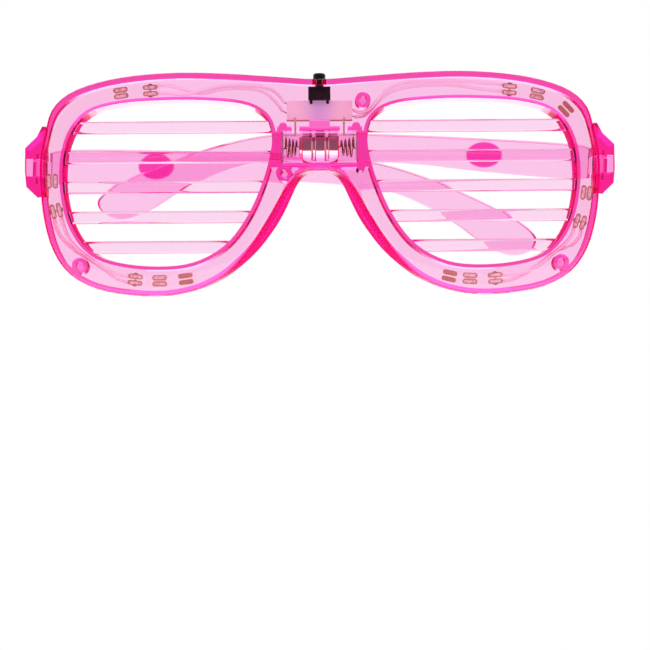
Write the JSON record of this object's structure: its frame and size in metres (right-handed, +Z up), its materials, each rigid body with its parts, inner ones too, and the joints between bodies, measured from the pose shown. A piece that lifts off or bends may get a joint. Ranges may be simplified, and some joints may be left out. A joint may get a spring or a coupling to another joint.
{
  "type": "party glasses with lamps",
  "caption": "Pink slatted party glasses with a push button on the bridge, button cells, lamps on film strips behind a clear face, and folding temples.",
  "frame": {"origin": "bottom centre of the box round the folded glasses", "axes": "+Z up through the bridge, +X to the right of the picture (the wearer's left), -Y out of the front face; temples fold behind the cover on the +Y side"},
  "size_m": [0.1596, 0.0194, 0.0607],
  "materials": {
    "clear_pink": "clear pink moulded polystyrene, polished",
    "pink_temple": "clear pink moulded polystyrene, polished",
    "cell_steel": "nickel-plated steel, satin",
    "spring_steel": "nickel-plated wire",
    "contact_steel": "nickel-plated sheet",
    "bare_lead": "tinned copper wire",
    "board": "paper laminate, seen through pink plastic",
    "resin": "black",
    "switch_metal": "thin plated sheet",
    "film": "thin clear film",
    "copper": "etched copper",
    "solder": "solder, bright",
    "lamp": "white moulded lamp body",
    "wire": "white insulated wire"
  },
  "bodies": {
    "front": {"front_shell": "clear_pink", "rear_cover": "clear_pink", "battery_door": "clear_pink", "button_cell_1": "cell_steel", "button_cell_2": "cell_steel", "button_cell_3": "cell_steel", "battery_spring_left": "spring_steel", "battery_spring_right": "spring_steel", "switch_pins": "spring_steel", "contact_plate_left": "contact_steel", "contact_plate_right": "contact_steel", "battery_lead_left": "bare_lead", "battery_lead_right": "bare_lead", "circuit_board": "board", "driver_blob": "resin", "board_resistor": "resin", "switch_body": "resin", "switch_cover": "switch_metal", "side_film_left": "film", "side_film_right": "film", "bottom_film_left": "film", "bottom_film_right": "film", "side_pads_left": "copper", "side_pads_right": "copper", "bottom_pads_left": "copper", "bottom_pads_right": "copper", "board_solder": "solder", "side_solder_left": "solder", "side_solder_right": "solder", "bottom_solder_left": "solder", "bottom_solder_right": "solder", "lamp_top_left": "lamp", "lamp_top_right": "lamp", "lamp_side_left": "lamp", "lamp_side_right": "lamp", "lamp_bottom_left": "lamp", "lamp_bottom_right": "lamp", "supply_wires_left": "wire", "supply_wires_right": "wire", "link_wires_left": "wire", "link_wires_right": "wire"},
    "button": {"switch_button": "resin"},
    "temple_left_body": {"temple_left": "pink_temple"},
    "temple_right_body": {"temple_right": "pink_temple"}
  },
  "joints": [
    {"name": "temple_left_hinge", "type": "hinge", "parent": "front", "child": "temple_left_body", "pos_m": [-0.0768, 0.00565, 0.0353], "axis": [0.0401, 0, 0.9992], "range_deg": [0, 88.8]},
    {"name": "temple_right_hinge", "type": "hinge", "parent": "front", "child": "temple_right_body", "pos_m": [0.0768, 0.00565, 0.0353], "axis": [-0.0401, 0, -0.9992], "range_deg": [0, 91.2]},
    {"name": "button_press", "type": "slide", "parent": "front", "child": "button", "axis": [0, 0, -1], "range_m": [0, 0.0003], "stiffness_N_per_m": 200}
  ]
}
